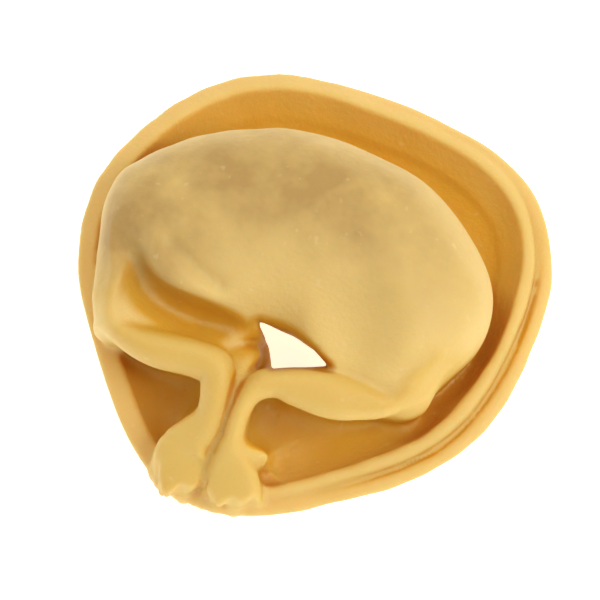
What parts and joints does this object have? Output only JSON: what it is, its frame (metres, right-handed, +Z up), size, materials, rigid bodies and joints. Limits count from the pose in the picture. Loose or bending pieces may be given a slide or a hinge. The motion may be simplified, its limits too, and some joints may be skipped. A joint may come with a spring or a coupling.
{
  "type": "tortellino",
  "caption": "Raw egg tortellino: a half-moon of filled dough bent into a ring, its two ends pinched together in front and its sealed edge turned up all round as a brim",
  "frame": {"origin": "centre of the bounding box in plan, on the surface that the piece rests on", "axes": "X runs along the filled pocket, -Y points to the two pinched tips, +Z is up through the hole"},
  "size_m": [0.0332, 0.0326, 0.013],
  "materials": {
    "dough": "raw egg pasta dough, satin, slightly floury"
  },
  "bodies": {
    "root": {"tortellino": "dough"}
  },
  "joints": []
}
